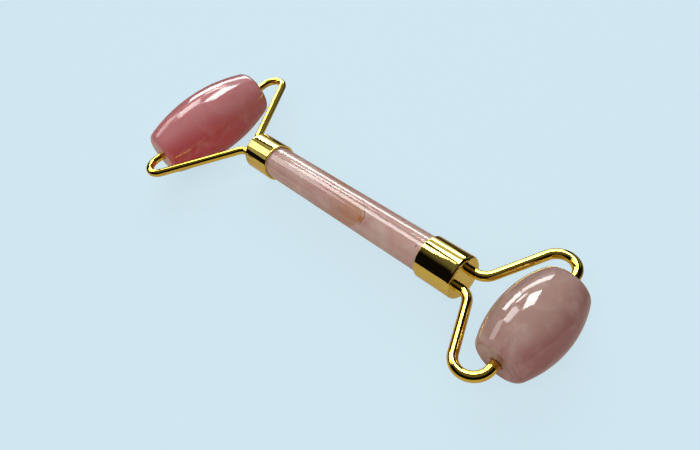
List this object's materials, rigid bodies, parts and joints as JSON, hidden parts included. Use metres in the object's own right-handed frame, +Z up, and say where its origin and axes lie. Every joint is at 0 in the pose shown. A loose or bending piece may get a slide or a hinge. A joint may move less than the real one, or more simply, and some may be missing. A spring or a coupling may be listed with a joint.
{
  "type": "face roller",
  "caption": "Double ended face roller: a stone rod handle in gilt ferrules, each end with a wire fork carrying a freely spinning barrel shaped stone.",
  "frame": {"origin": "middle of the overall length, on the axis of the handle rod", "axes": "+X along the handle from the large roller towards the small roller, +Y along the roller axes, +Z up out of the plane of the two forks"},
  "size_m": [0.1528, 0.0588, 0.0222],
  "materials": {
    "handle_stone": "polished rose quartz, pale greyish pink, slightly translucent",
    "large_roller_stone": "polished rose quartz, deep rose, slightly translucent",
    "small_roller_stone": "polished rose quartz, greyish pink, slightly translucent",
    "gilt_ferrule": "mirror polished gold plate",
    "gilt_wire": "mirror polished gold plate",
    "nylon_bush": "natural nylon",
    "cement": "cured epoxy cement"
  },
  "bodies": {
    "handle": {"handle_rod": "handle_stone", "large_end_ferrule": "gilt_ferrule", "small_end_ferrule": "gilt_ferrule", "large_end_cement": "cement", "small_end_cement": "cement", "large_fork_left_arm": "gilt_wire", "large_fork_right_arm": "gilt_wire", "small_fork_left_arm": "gilt_wire", "small_fork_right_arm": "gilt_wire"},
    "large_roller": {"large_roller_stone": "large_roller_stone", "large_roller_left_bush": "nylon_bush", "large_roller_right_bush": "nylon_bush"},
    "small_roller": {"small_roller_stone": "small_roller_stone", "small_roller_left_bush": "nylon_bush", "small_roller_right_bush": "nylon_bush"}
  },
  "joints": [
    {"name": "large_roller_spin", "type": "hinge", "parent": "handle", "child": "large_roller", "pos_m": [-0.06535, 0, 0], "axis": [0, 1, 0], "continuous": true},
    {"name": "small_roller_spin", "type": "hinge", "parent": "handle", "child": "small_roller", "pos_m": [0.06765, 0, 0], "axis": [0, 1, 0], "continuous": true}
  ]
}
